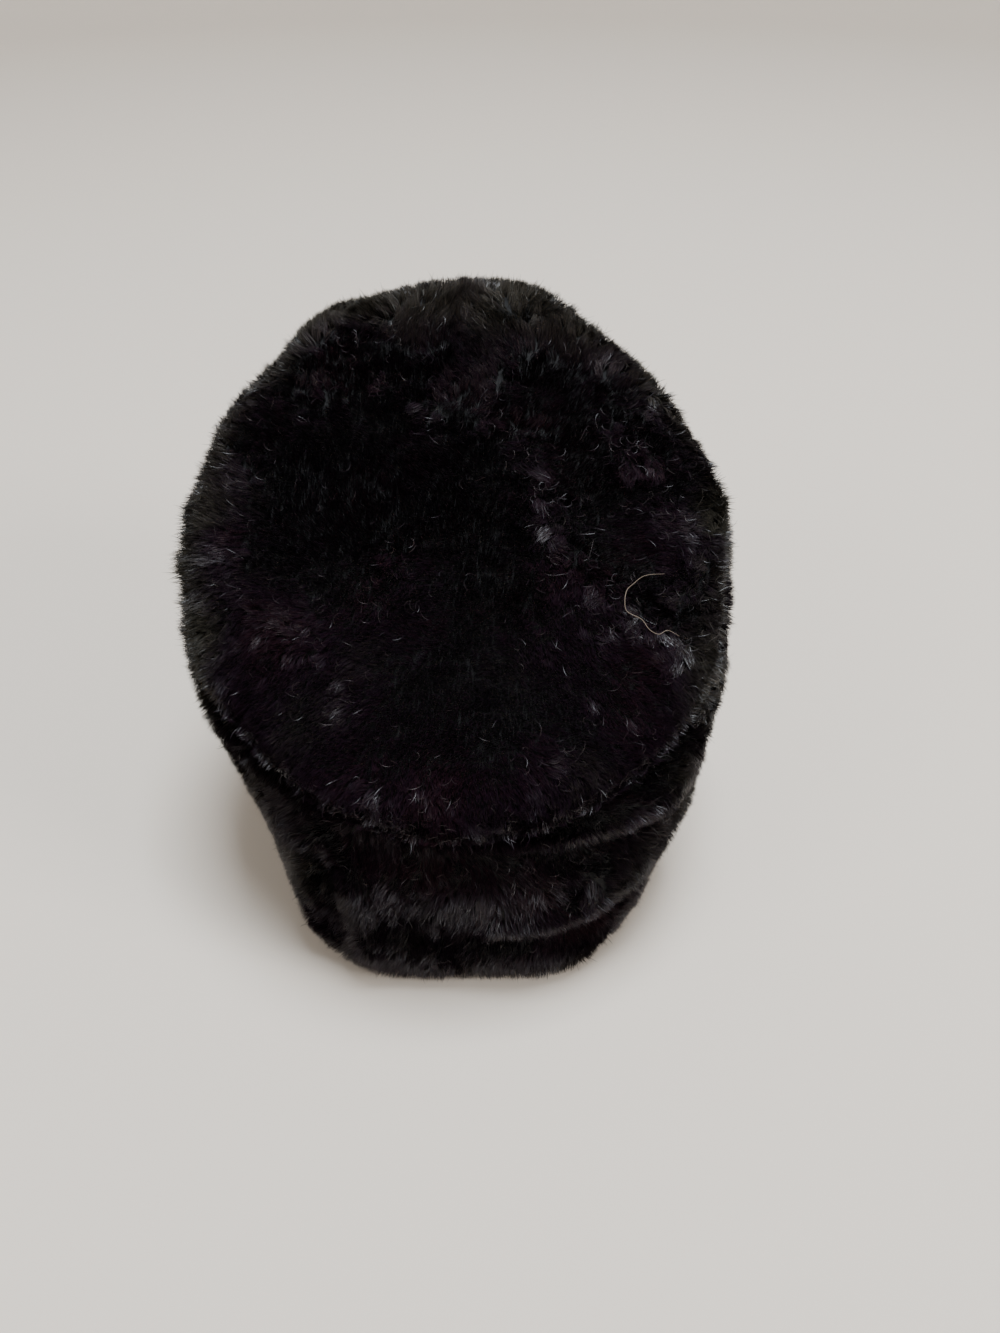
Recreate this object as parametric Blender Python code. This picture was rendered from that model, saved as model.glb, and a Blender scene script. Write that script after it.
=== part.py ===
"""A Turkmen telpek: a tall soft hat of short black sheepskin, whose crown slopes down to the nape.

The hat stands on its rim, with the nape towards -Y and the brow towards +Y. Lengths are in metres
and angles in degrees, and the outer surfaces are where the tips of the fur lie.
"""

import math
from collections import namedtuple

import bmesh
import bpy
from mathutils import Vector

# Driving dimensions
RIM_WIDTH = 0.188
RIM_LENGTH = 0.232
RIM_SQUARENESS = 2.8
CROWN_WIDTH = 0.240
CROWN_LENGTH = 0.277
CROWN_SQUARENESS = 2.05
CROWN_SHIFT = -0.006
NAPE_HEIGHT = 0.1165
NAPE_OVERHANG = 0.009
BROW_HEIGHT = 0.2475
DOME = 0.010

# Thicknesses and edges
WALL = 0.013
GAP = 0.0003
HEM_ROUND = 0.004
HEM_SHARE = 0.02
EDGE_UNDER = 0.002
EDGE_ROUND = 0.0108

# How finely each piece is divided
AROUND = 92
WALL_ROWS = 28
INNER_ROWS = 10
CROWN_RINGS = 12
LINING_RINGS = 2
EDGE_STEPS = 4

# The colour and the roughness of black fur
FUR_COLOUR = (0.012, 0.011, 0.012, 1)
FUR_ROUGHNESS = 0.7

# The wall from rim to crown: how far it stands out from a straight line at each place round it
Profile = namedtuple("Profile", "height nape side brow")
PROFILES = (
    Profile(0.00, 0.000, 0.000, 0.000),
    Profile(0.20, 0.004, 0.004, 0.003),
    Profile(0.50, 0.004, 0.005, 0.005),
    Profile(0.88, 0.004, 0.009, 0.007),
    Profile(1.00, 0.000, 0.000, 0.000),
)

# How far the rim and the crown's edge stand out from plain ovals, by the angle from the nape
Edge = namedtuple("Edge", "angle out")
RIM_EDGE = (
    Edge(0, 0.000),
    Edge(22, 0.002),
    Edge(35, -0.003),
    Edge(55, -0.003),
    Edge(75, 0.003),
    Edge(90, 0.003),
    Edge(180, 0.000),
    Edge(270, 0.000),
    Edge(295, -0.003),
    Edge(312, -0.003),
    Edge(332, 0.004),
)
CROWN_EDGE = (
    Edge(0, 0.000),
    Edge(60, 0.003),
    Edge(78, -0.001),
    Edge(88, 0.000),
    Edge(97, 0.003),
    Edge(107, -0.001),
    Edge(120, -0.004),
    Edge(150, -0.006),
    Edge(165, 0.003),
    Edge(195, 0.000),
    Edge(210, 0.004),
    Edge(225, -0.002),
    Edge(240, 0.001),
    Edge(255, 0.000),
    Edge(265, 0.003),
    Edge(275, 0.001),
    Edge(285, 0.002),
    Edge(300, 0.002),
    Edge(315, -0.002),
)

# Folds in the wall: a positive rise is a ridge, a negative one a crease
WallFold = namedtuple("WallFold", "angle up heading half_length half_width rise")
WALL_FOLDS = (
    WallFold(10, 0.0895, -11, 0.100, 0.012, -0.014),
    WallFold(32, 0.107, -11, 0.055, 0.013, 0.005),
    WallFold(-28, 0.056, 90, 0.035, 0.005, -0.007),
    WallFold(-21, 0.050, 90, 0.035, 0.009, 0.004),
    WallFold(-38, 0.038, 90, 0.034, 0.009, 0.004),
    WallFold(23, 0.053, 6, 0.035, 0.008, 0.005),
    WallFold(23, 0.039, 6, 0.035, 0.008, -0.005),
    WallFold(52, 0.071, -12, 0.036, 0.016, 0.011),
    WallFold(105, 0.110, 100, 0.050, 0.020, -0.003),
    WallFold(150, 0.100, 80, 0.060, 0.022, -0.003),
    WallFold(-155, 0.130, 95, 0.050, 0.022, -0.003),
    WallFold(-110, 0.090, 70, 0.060, 0.018, -0.003),
)

# Folds in the crown, placed across and along its slope from its middle
CrownFold = namedtuple("CrownFold", "across along heading half_length half_width rise")
CROWN_FOLDS = (
    CrownFold(0.038, 0.000, -62, 0.055, 0.012, 0.0035),
    CrownFold(0.075, -0.040, -38, 0.035, 0.006, 0.003),
    CrownFold(0.085, -0.022, -38, 0.030, 0.012, -0.003),
    CrownFold(0.080, 0.036, 0, 0.010, 0.010, 0.002),
    CrownFold(-0.085, -0.030, -50, 0.040, 0.012, 0.003),
    CrownFold(0.000, -0.112, 8, 0.055, 0.010, 0.003),
    CrownFold(-0.045, 0.030, 30, 0.040, 0.025, -0.004),
    CrownFold(0.044, -0.077, 0, 0.030, 0.018, -0.003),
    CrownFold(-0.042, 0.105, 20, 0.020, 0.012, 0.003),
)

SLOPE = math.asin((BROW_HEIGHT - NAPE_HEIGHT) / CROWN_LENGTH)
UPHILL = Vector((0, math.cos(SLOPE), math.sin(SLOPE)))
CROWN_NORMAL = Vector((0, -math.sin(SLOPE), math.cos(SLOPE)))
CROWN_NAPE = Vector((CROWN_SHIFT, -RIM_LENGTH / 2 - NAPE_OVERHANG, NAPE_HEIGHT))
CROWN_MIDDLE = CROWN_NAPE + UPHILL * CROWN_LENGTH / 2


def eased(rows, at, key, column, period=None):
    """The column's value at a place between the rows, on a curve that is level at each row."""
    if period:
        at %= period
        rows = (*rows, rows[0]._replace(**{key: getattr(rows[0], key) + period}))
    for low, high in zip(rows, rows[1:]):
        start, end = getattr(low, key), getattr(high, key)
        if at <= end:
            share = (at - start) / (end - start)
            share = share * share * (3 - 2 * share)
            return getattr(low, column) * (1 - share) + getattr(high, column) * share
    return getattr(rows[-1], column)


def oval(angle, width, length, squareness):
    """The radius of a slightly squared oval at an angle from the nape."""
    across = abs(math.sin(math.radians(angle))) * 2 / width
    along = abs(math.cos(math.radians(angle))) * 2 / length
    return (across**squareness + along**squareness) ** (-1 / squareness)


def outward(angle):
    return Vector((math.sin(math.radians(angle)), -math.cos(math.radians(angle)), 0))


def fold_height(folds, across, along):
    """The rise of all folds at a place on the unrolled surface."""
    total = 0.0
    for fold, (middle_x, middle_y) in folds:
        turn = math.radians(fold.heading)
        dx, dy = across - middle_x, along - middle_y
        length = (dx * math.cos(turn) + dy * math.sin(turn)) / fold.half_length
        width = (dy * math.cos(turn) - dx * math.sin(turn)) / fold.half_width
        total += fold.rise * math.exp(-(width**2) - length**4)
    return total


def rim_radius(angle):
    edge = eased(RIM_EDGE, angle, "angle", "out", period=360)
    return oval(angle, RIM_WIDTH, RIM_LENGTH, RIM_SQUARENESS) + edge


def crown_radius(angle):
    edge = eased(CROWN_EDGE, angle, "angle", "out", period=360)
    return oval(angle, CROWN_WIDTH, CROWN_LENGTH, CROWN_SQUARENESS) + edge


def crown_point(angle, share, inset, lift, folded=0):
    """A place on the crown, from its middle at share 0 to its edge, less the inset, at 1."""
    flat = outward(angle) * (crown_radius(angle) - inset) * share
    folds = [(fold, (fold.across, fold.along)) for fold in CROWN_FOLDS]
    lift += DOME * (1 - share**2) + folded * fold_height(folds, flat.x, flat.y)
    return CROWN_MIDDLE + Vector((flat.x, 0, 0)) + UPHILL * flat.y + CROWN_NORMAL * lift


def wall_point(angle, share, inset):
    """A place on the wall, from the rim at share 0 to the crown's underside at 1."""
    facing = outward(angle)
    rim = facing * (rim_radius(angle) - inset)
    top = crown_point(angle, 1, inset, -WALL - GAP)
    point = rim.lerp(top, share)
    nape = max(-facing.y, 0) ** 2
    side = facing.x**2
    brow = max(facing.y, 0) ** 2
    out = (
        nape * eased(PROFILES, share, "height", "nape")
        + side * eased(PROFILES, share, "height", "side")
        + brow * eased(PROFILES, share, "height", "brow")
    )
    radius = (RIM_WIDTH + RIM_LENGTH) / 4
    turned = (angle + 180) % 360 - 180
    folds = [(f, (math.radians(f.angle) * radius, f.up)) for f in WALL_FOLDS]
    out += fold_height(folds, math.radians(turned) * radius, point.z) * (1 - share**8)
    along_crown = Vector((facing.x, 0, 0)) + UPHILL * facing.y
    return point + facing.lerp(along_crown, share) * out


def first_ring(mesh, place):
    """A closed ring of vertices that remember their angle from the nape."""
    angles = mesh.verts.layers.float.new("angle")
    made = bmesh.ops.create_circle(mesh, segments=AROUND, radius=1)["verts"]
    for vert in made:
        vert[angles] = math.degrees(math.atan2(vert.co.x, -vert.co.y)) % 360
        vert.co = place(vert[angles])
    return list(mesh.edges)


def next_ring(mesh, ring, place):
    """Extrudes a ring of edges and puts each new vertex where its angle says."""
    angles = mesh.verts.layers.float["angle"]
    made = bmesh.ops.extrude_edge_only(mesh, edges=ring)["geom"]
    fresh = {item for item in made if isinstance(item, bmesh.types.BMVert)}
    for vert in fresh:
        vert.co = place(vert[angles])
    edges = [item for item in made if isinstance(item, bmesh.types.BMEdge)]
    return [edge for edge in edges if fresh.issuperset(edge.verts)]


def side_wall():
    mesh = bmesh.new()
    rows = [(0, HEM_ROUND), (HEM_SHARE, HEM_ROUND / 4)]
    rows += [(row / WALL_ROWS, 0) for row in range(1, WALL_ROWS)]
    rows.append((1, EDGE_UNDER))
    rows += [(1 - row / INNER_ROWS, WALL) for row in range(INNER_ROWS)]
    rows += [(HEM_SHARE, WALL), (0, WALL - HEM_ROUND / 2)]
    first = ring = first_ring(mesh, lambda angle: wall_point(angle, *rows[0]))
    for share, inset in rows[1:]:
        ring = next_ring(mesh, ring, lambda angle: wall_point(angle, share, inset))
    bmesh.ops.bridge_loops(mesh, edges=first + ring)
    return new_object("side_wall", mesh)


def crown():
    mesh = bmesh.new()
    rows = [(share / LINING_RINGS, WALL, -WALL) for share in range(1, LINING_RINGS + 1)]
    rows += [(1, EDGE_UNDER, -WALL), (1, 0, EDGE_UNDER - WALL)]
    for step in range(EDGE_STEPS + 1):
        turn = math.pi / 2 * step / EDGE_STEPS
        inset, lift = EDGE_ROUND * (1 - math.cos(turn)), EDGE_ROUND * (math.sin(turn) - 1)
        rows.append((1, inset, lift, step / EDGE_STEPS))
    rows += [(ring / CROWN_RINGS, EDGE_ROUND, 0, 1) for ring in range(CROWN_RINGS - 1, 0, -1)]
    first = ring = first_ring(mesh, lambda angle: crown_point(angle, *rows[0]))
    for row in rows[1:]:
        ring = next_ring(mesh, ring, lambda angle: crown_point(angle, *row))
    for edges, lift, folded in ((first, -WALL, 0), (ring, 0, 1)):
        middle = crown_point(0, 0, 0, lift, folded)
        inner = next_ring(mesh, edges, lambda angle: middle)
        verts = {vert for edge in inner for vert in edge.verts}
        bmesh.ops.pointmerge(mesh, verts=list(verts), merge_co=middle)
    return new_object("crown", mesh)


def follow_folds(mesh):
    """Splits each four-sided face along the diagonal that bends least, so that creases run straight."""
    split = bmesh.ops.triangulate(mesh, faces=mesh.faces[:], quad_method="BEAUTY")
    bmesh.ops.beautify_fill(mesh, faces=mesh.faces[:], edges=split["edges"], method="ANGLE")


def new_object(name, mesh):
    data = bpy.data.meshes.new(name)
    bmesh.ops.recalc_face_normals(mesh, faces=mesh.faces)
    follow_folds(mesh)
    mesh.to_mesh(data)
    mesh.free()
    data.shade_smooth()
    obj = bpy.data.objects.new(name, data)
    bpy.context.scene.collection.objects.link(obj)
    material = bpy.data.materials.new(name)
    material.use_nodes = True
    shader = material.node_tree.nodes["Principled BSDF"]
    shader.inputs["Base Color"].default_value = FUR_COLOUR
    shader.inputs["Roughness"].default_value = FUR_ROUGHNESS
    data.materials.append(material)
    return obj


def centre(pieces):
    """Puts the middle of the hat's footprint over the origin."""
    corners = [vert.co for piece in pieces for vert in piece.data.vertices]
    for axis in (0, 1):
        low = min(corner[axis] for corner in corners)
        high = max(corner[axis] for corner in corners)
        for piece in pieces:
            piece.location[axis] = -(low + high) / 2


def main():
    for obj in list(bpy.data.objects):
        bpy.data.objects.remove(obj, do_unlink=True)
    centre([side_wall(), crown()])


if __name__ == "__main__":
    main()
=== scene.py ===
"""A Turkmen telpek dressed in short black sheepskin fur, on a plain pale floor.

The hat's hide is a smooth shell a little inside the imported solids, and its fur is 440,000
short flat hairs that lean, curl and gather in small tufts. Lengths are in metres.
"""

import math

import bmesh
import bpy
import numpy as np
from bpy.props import FloatProperty, FloatVectorProperty, IntProperty, PointerProperty
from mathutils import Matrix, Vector, bvhtree, geometry, kdtree, noise


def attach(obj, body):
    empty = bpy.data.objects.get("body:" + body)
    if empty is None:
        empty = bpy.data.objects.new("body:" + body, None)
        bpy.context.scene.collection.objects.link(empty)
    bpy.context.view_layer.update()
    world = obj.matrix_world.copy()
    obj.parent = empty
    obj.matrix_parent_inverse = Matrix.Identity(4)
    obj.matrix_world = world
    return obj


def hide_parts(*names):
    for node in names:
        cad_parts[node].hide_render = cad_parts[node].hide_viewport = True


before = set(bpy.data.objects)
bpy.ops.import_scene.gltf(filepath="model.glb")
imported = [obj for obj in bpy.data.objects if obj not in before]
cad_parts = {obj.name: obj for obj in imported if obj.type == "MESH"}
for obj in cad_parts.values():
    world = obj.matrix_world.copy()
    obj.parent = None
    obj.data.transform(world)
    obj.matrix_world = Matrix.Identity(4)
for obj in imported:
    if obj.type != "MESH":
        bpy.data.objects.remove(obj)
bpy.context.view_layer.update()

bl_info = {
    "name": "Telpek",
    "version": (1, 0, 0),
    "blender": (4, 5, 0),
    "location": "3D View > Sidebar > Telpek",
    "description": "Dresses a packed telpek in fur and lights it",
    "category": "Object",
}

# The photograph's frame in pixels, and its focal length in the same pixels
FRAME_HEIGHT_PX = 1333
FOCAL_PX = 1001

# The tables below give places in millimetres
PER_METRE = 1000

# The crown's middle, its slope down to the nape, and half its width and length, as the packed
# crown has them
CROWN_MIDDLE = np.array((-0.0014, -0.0071, 0.1820))
CROWN_SLOPE = math.radians(28.2)
UPHILL = np.array((0, math.cos(CROWN_SLOPE), math.sin(CROWN_SLOPE)))
CROWN_FACING = np.array((0, -math.sin(CROWN_SLOPE), math.cos(CROWN_SLOPE)))
CROWN_HALF_WIDTH = 0.122
CROWN_HALF_LENGTH = 0.138
# Where the crown's flat underside and the wall's flat top lie, measured up from the plane through
# the crown's middle, and how far under it a corner of that top may lie
SEAM_LIFT = -0.0133
SEAM_SLACK = 0.001
# A height over that plane that is clear of the whole crown
CLEAR_OF_CROWN = 0.05
# The radius at which a turn round the wall is read as a length
WALL_RADIUS = 0.11

# Limits of how far faces look one way, from -1 to 1: the crown's underside looks less than this
# along its facing, and the wall's furred side looks more than this away from the hat's middle, and
# its bare side less than this
UNDERSIDE_LOOK = -0.9
FURRED_LOOK = 0.15
BARE_LOOK = -0.3

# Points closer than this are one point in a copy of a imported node
MERGE = 1e-5

# Sizes of the random drifts that the fur follows, and what each adds to a surface's seed
SWIRL = 0.030
RUFFLE = 0.010
SWELL = RUFFLE * 1.6
RAGGED = 0.012
SPECKLE = 0.007
LUMP = 0.014
SWIRL_SEED = 10
RUFFLE_SEED = 11
SWELL_SEED = 12
RAGGED_SEED = 30
SPECKLE_SEED = 40
TINT_SEED = 50
LUMP_SEED = 70

# Seeds of the tufts of each surface
CROWN_SEED = 1
WALL_SEED = 2

# How far the ragged outline of a patch of sheen strays
RAGGED_SHIFT = 0.009
# How the speckle breaks up the sheen: its middle and swing, and the strays outside the patches
SPECKLE_MIDDLE = 0.85
SPECKLE_SWING = 1.1
STRAY_SHARE = 0.3
STRAY_FROM = 0.35

# What turns a tuft from the pile's own flow
SWIRL_PULL = 1.2
LAID_RUFFLE_PULL = 1.2
CHANCE_PULL = 0.12
CURL_PULL = 0.8
# How much the tufts differ, as shares of the usual values, and the limits of their leans
TUFT_LEAN_SPREAD = 0.1
TUFT_LEANS = (math.radians(8), math.radians(82))
SWELL_DEPTH = 0.15
TUFT_LENGTH_SPREAD = 0.02
GATHER_SPREAD = 0.5
GATHER_MOST = 0.85

# How much the hairs of a tuft differ in length, lean, way, curl, pull, turn and width
HAIR_LENGTH_SPREAD = 0.08
HAIR_LENGTHS = (0.5, 1.5)
PROUD_LENGTHS = (1.15, 1.5)
HAIR_LEAN_SPREAD = 0.08
HAIR_LEANS = (0.05, 1.45)
HAIR_WAY_SPREAD = 0.16
HAIR_CURL_SPREAD = 0.2
HAIR_PULLS = (0.5, 1.0)
HAIR_TURN = 0.8
HAIR_WIDTHS = (0.7, 1.3)
# A hair's lower half leans this share of its lean and its upper half this share
LOWER_LEAN = 0.6
UPPER_LEAN = 1.3
# How far a tuft pulls the middle of a hair, as a share of the pull on its tip
MIDDLE_PULL = 0.25
# A short hair's two faces, among its root, both sides of its middle and its tip, and how far along
# it and to which side these lie
HAIR_FACES = ((0, 1, 2), (2, 1, 3))
HAIR_ALONG = (0.0, 0.5, 0.5, 1.0)
HAIR_SIDE = (0, 1, -1, 0)

# The longer curved hairs: pairs of points along each, depth of the root, and how much they differ
WISP_STEPS = 6
WISP_DEPTH = 0.0035
WISP_LENGTHS = (0.7, 1.2)
WISP_WAY_SPREAD = 0.7
WISP_BEND_SPREAD = math.radians(28)
# How far their roots lean in upright fur and how much more in laid fur, how much more their tips
# lean, and the most that they may
WISP_LEAN = math.radians(35)
WISP_LAID_LEAN = math.radians(30)
WISP_TIP_LEANS = (0.3, 1.0)
WISP_LEAN_MOST = math.radians(97)
# How likely one grows where the fur is fully upright. Fully laid fur adds 1 to this
WISP_UPRIGHT = 0.02

# How far above the floor hairs at the rim stop
RIM_TIPS = (0.0002, 0.0012)

# How the tint of the hairs drifts and differs, and its limits
TINT_DRIFT = 0.45
TINT_SPREAD = 0.12
TINTS = (0.01, 0.99)
# Painted shade and painted light along each hair: how dark its root is painted, where the pile
# shades it, and how much brighter its tip
ROOT_PAINTED_SHADE = 0.35
TIP_PAINTED_LIGHT = 1.15

# The map that holds each hair's colour: its tint to the right, and the way from its root up, which
# sets its painted shade
CHART = "OFBake"
CHART_HALF_WIDTH = 0.001
CHART_HEIGHT = 0.25
# Where the root lies in the map's height, and how far over it the tip
CHART_START = 0.02
CHART_RUN = 0.96

# The hide's grains to the metre, its darkest and palest shade, and its roughness
HIDE_GRAINS = 400
HIDE_SHADES = (0.7, 1.3)
HIDE_ROUGHNESS = 0.9

# The caught hair's sides, the steps between two of its knots, how it thins to its ends, its grains
# to the metre and its roughness
CAUGHT_SIDES = 6
PATH_STEPS = 6
CAUGHT_TAPER = 0.6
CAUGHT_TAPER_POWER = 4
CAUGHT_GRAINS = 120
CAUGHT_ROUGHNESS = 0.5

# The flat part of the floor, the curve round it and the height of its edge
FLOOR_REACH = 2.4
FLOOR_CURVE = 1.0
FLOOR_WALL = 3.4
FLOOR_STEPS = 12
FLOOR_SIDES = 96
FLOOR_ROUGHNESS = 0.85

# The lights, whose names are those of their power settings, and the place that they shine at
LIGHTS = (
    # name, place, size, colour
    ("key", (0.3, 0.1, 3.0), 1.0, (0.87, 0.935, 1.0)),
    ("side", (1.9, -0.9, 1.5), 0.7, (1.0, 1.0, 1.0)),
    ("fill", (-1.8, -1.2, 1.6), 1.0, (0.95, 0.97, 1.0)),
)
LIT_PLACE = (0, 0, 0.12)

# The tuft that sticks out on the left of the crown: where it is across and up it, and its reach
LEFT_TUFT = (-0.120, -0.013)
LEFT_TUFT_REACH = 0.008

# Where the crown's fur lies over and shines, in millimetres across the crown and up its slope from
# its middle, how wide each patch is, and how far its hairs lie over, from 0 to 1
CROWN_SHEEN = (
    # across, along, reach, share
    (-48, 104, 16, 0.44),
    (-20, 118, 14, 0.40),
    (14, 52, 12, 0.58),
    (30, 30, 12, 0.62),
    (41, 7, 13, 0.80),
    (46, -8, 11, 0.62),
    (50, -22, 13, 0.60),
    (58, -49, 14, 0.50),
    (62, -34, 12, 0.72),
    (74, -40, 12, 0.78),
    (86, -50, 12, 0.85),
    (97, -56, 13, 0.75),
    (80, 36, 12, 0.95),
    (74, 50, 9, 0.45),
    (99, 0, 17, 0.60),
    (106, -30, 14, 0.55),
    (94, 64, 16, 0.62),
    (74, 92, 15, 0.45),
    (20, 75, 18, 0.32),
    (-10, 60, 15, 0.32),
    (-102, -13, 20, 0.42),
    (-94, 26, 18, 0.26),
    (-66, -54, 22, 0.46),
    (-48, -73, 16, 0.40),
    (-98, -58, 18, 0.42),
    (-33, -120, 13, 0.42),
    (-9, -119, 12, 0.48),
    (39, -107, 14, 0.52),
    (68, -88, 16, 0.40),
    (-38, -38, 18, 0.28),
    (36, -60, 12, 0.22),
    (-20, -20, 18, 0.22),
    (-70, 64, 16, 0.34),
    (-30, 76, 14, 0.32),
)

# The same for the wall: degrees round it from the nape to the hat's right, height and reach in
# millimetres, and share
WALL_SHEEN = (
    # angle, up, reach, share
    (68, 128, 22, 0.80),
    (58, 100, 18, 0.60),
    (16, 72, 12, 0.45),
    (6, 68, 12, 0.30),
    (28, 60, 12, 0.22),
    (-21, 60, 12, 0.20),
    (-40, 63, 14, 0.35),
    (-35, 40, 10, 0.25),
    (44, 72, 12, 0.30),
    (110, 110, 40, 0.45),
    (-110, 100, 40, 0.45),
    (150, 120, 40, 0.40),
    (-150, 140, 40, 0.40),
    (176, 80, 40, 0.35),
)

# The pale hair caught in the fur on the crown's right: millimetres across and up the crown, and
# how far it stands off the tips of the fur
CAUGHT_HAIR = (
    # across, along, off
    (91, -23, 0.4),
    (82, -25, 1.2),
    (76, -31, 1.8),
    (73, -35, 1.8),
    (72, -40, 1.6),
    (73, -44, 1.2),
    (79, -47, 1.0),
    (82, -51, 0.9),
    (86, -53, 0.8),
    (90, -51, 0.8),
    (95, -53, 0.2),
)


class HideSettings(bpy.types.PropertyGroup):
    """How deep the hide lies and its colours"""

    depth: FloatProperty(
        name="Depth", description="How far the hide lies under the tips of the fur",
        default=0.0050, min=0.001, max=0.008, unit="LENGTH",
    )
    undercoat: FloatVectorProperty(
        name="Undercoat", description="Colour between the roots of the fur",
        default=(0.0025, 0.0023, 0.0026), subtype="COLOR", min=0, max=1,
    )
    flesh_side: FloatVectorProperty(
        name="Flesh side", description="Colour of the bare side of the hide, inside the hat",
        default=(0.030, 0.026, 0.024), subtype="COLOR", min=0, max=1,
    )


class FurSettings(bpy.types.PropertyGroup):
    """How the fur grows and looks"""

    hairs: IntProperty(
        name="Hairs", description="Short hairs in each piece of fur",
        default=88000, min=1000, max=99000,
    )
    wisps: IntProperty(
        name="Wisps", description="Longer curved hairs in each piece of fur",
        default=650, min=0, max=1600,
    )
    length: FloatProperty(
        name="Length", description="Usual length of a hair",
        default=0.0085, min=0.002, max=0.02, unit="LENGTH",
    )
    width: FloatProperty(
        name="Width", description="Width of a hair at its middle",
        default=0.00036, min=0.0001, max=0.001, unit="LENGTH",
    )
    root_depth: FloatProperty(
        name="Root depth", description="How far the roots lie under the tips",
        default=0.0065, min=0.001, max=0.01, unit="LENGTH",
    )
    tuft_size: FloatProperty(
        name="Tuft size", description="Usual distance between the middles of two tufts",
        default=0.0036, min=0.001, max=0.02, unit="LENGTH",
    )
    upright: FloatProperty(
        name="Upright", description="Lean of the hairs where the fur stands up and looks dark",
        default=math.radians(16), min=0, max=math.radians(85), subtype="ANGLE",
    )
    laid: FloatProperty(
        name="Laid", description="Lean of the hairs where the fur lies over and shines",
        default=math.radians(72), min=0, max=math.radians(85), subtype="ANGLE",
    )
    proud: FloatProperty(
        name="Proud hairs", description="Share of the hairs that stand proud of the others",
        default=0.03, min=0, max=1, subtype="FACTOR",
    )
    gather: FloatProperty(
        name="Gather", description="How strongly the tips of a tuft draw together",
        default=0.5, min=0, max=1, subtype="FACTOR",
    )
    brown: FloatVectorProperty(
        name="Brown", description="Colour of the hairs deep in the folds",
        default=(0.0145, 0.0032, 0.0058), subtype="COLOR", min=0, max=1,
    )
    black: FloatVectorProperty(
        name="Black", description="Colour of most of the fur",
        default=(0.0082, 0.0024, 0.0078), subtype="COLOR", min=0, max=1,
    )
    # Olive is partly tone that drifts at random, and at the crown's edge, the brow and the wall's
    # flanks it is painted rim light
    olive: FloatVectorProperty(
        name="Olive", description="Colour of the faded hairs near the edges",
        default=(0.023, 0.0200, 0.0140), subtype="COLOR", min=0, max=1,
    )
    roughness: FloatProperty(
        name="Roughness", description="Roughness of the hairs",
        default=0.42, min=0, max=1, subtype="FACTOR",
    )
    gloss: FloatProperty(
        name="Gloss", description="How strongly the hairs shine",
        default=0.45, min=0, max=1, subtype="FACTOR",
    )


class CaughtSettings(bpy.types.PropertyGroup):
    """How the hair that is caught in the fur looks"""

    radius: FloatProperty(
        name="Radius", description="Half the thickness of the hair caught in the fur",
        default=0.00015, min=0.00005, max=0.001, unit="LENGTH",
    )
    pale: FloatVectorProperty(
        name="Pale", description="Lightest colour of the caught hair",
        default=(0.21, 0.165, 0.125), subtype="COLOR", min=0, max=1,
    )
    dark: FloatVectorProperty(
        name="Dark", description="Darkest colour of the caught hair",
        default=(0.11, 0.08, 0.06), subtype="COLOR", min=0, max=1,
    )


class StageSettings(bpy.types.PropertyGroup):
    """The floor, the lights and the camera"""

    floor: FloatVectorProperty(
        name="Floor", description="Colour of the floor",
        default=(0.70, 0.63, 0.55), subtype="COLOR", min=0, max=1,
    )
    key: FloatProperty(
        name="Key light", description="Power of the main light overhead",
        default=138, min=0, max=1000, unit="POWER",
    )
    side: FloatProperty(
        name="Side light", description="Power of the light from the hat's right",
        default=30, min=0, max=1000, unit="POWER",
    )
    fill: FloatProperty(
        name="Fill light", description="Power of the faint light from the hat's left",
        default=12, min=0, max=1000, unit="POWER",
    )
    sky: FloatProperty(
        name="Sky", description="Brightness of the room",
        default=0.25, min=0, max=10,
    )
    camera_place: FloatVectorProperty(
        name="Camera", description="Where the camera stands",
        default=(0.0186, -0.3761, 0.4286), unit="LENGTH",
    )
    camera_pitch: FloatProperty(
        name="Pitch", description="How far the camera looks down",
        default=math.radians(41.7), subtype="ANGLE",
    )


def unit(vectors):
    """The same vectors, each of length one."""
    return vectors / np.maximum(np.linalg.norm(vectors, axis=-1, keepdims=True), 1e-12)


def along_surface(vectors, normals):
    """The part of each vector that lies along the surface."""
    return vectors - normals * (vectors * normals).sum(-1, keepdims=True)


def noise_at(places, size, seed):
    """A smooth random vector at each place, the same each time for the same seed."""
    noise.seed_set(seed)
    return np.array([noise.noise_vector(Vector(place) / size) for place in places])


def node_copy(node):
    """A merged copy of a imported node's mesh."""
    mesh = bmesh.new()
    mesh.from_mesh(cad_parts[node].data)
    bmesh.ops.remove_doubles(mesh, verts=mesh.verts, dist=MERGE)
    mesh.normal_update()
    return mesh


def facings(mesh, faces):
    """Which way the given faces alone look at each vertex, and zero where none of them is."""
    mesh.verts.index_update()
    total = np.zeros((len(mesh.verts), 3))
    for face in faces:
        total[[vert.index for vert in face.verts]] += face.normal * face.calc_area()
    return unit(total)


class Surface:
    """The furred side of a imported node, as arrays."""

    def __init__(self, node, furred):
        mesh = node_copy(node)
        faces = [face for face in mesh.faces if furred(face)]
        self.normals = facings(mesh, faces)
        self.places = np.array([vert.co for vert in mesh.verts])
        self.faces = np.array([[vert.index for vert in face.verts] for face in faces])
        mesh.free()
        corners = self.places[self.faces]
        sides = corners[:, 1:] - corners[:, :1]
        self.areas = np.linalg.norm(np.cross(sides[:, 0], sides[:, 1]), axis=1) / 2
        self.middles = corners.mean(1)

    def scatter(self, count, rng, chosen=None):
        """Random places on the chosen faces, with their normals."""
        weights = self.areas if chosen is None else self.areas * chosen
        drawn = rng.choice(len(weights), count, p=weights / weights.sum())
        shares = rng.dirichlet((1, 1, 1), count)[:, :, None]
        corners = self.faces[drawn]
        places = (self.places[corners] * shares).sum(1)
        return places, unit((self.normals[corners] * shares).sum(1))


def lift_of(place):
    """How far a place lies above the crown's plane."""
    return (place - Vector(CROWN_MIDDLE)).dot(Vector(CROWN_FACING))


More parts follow.
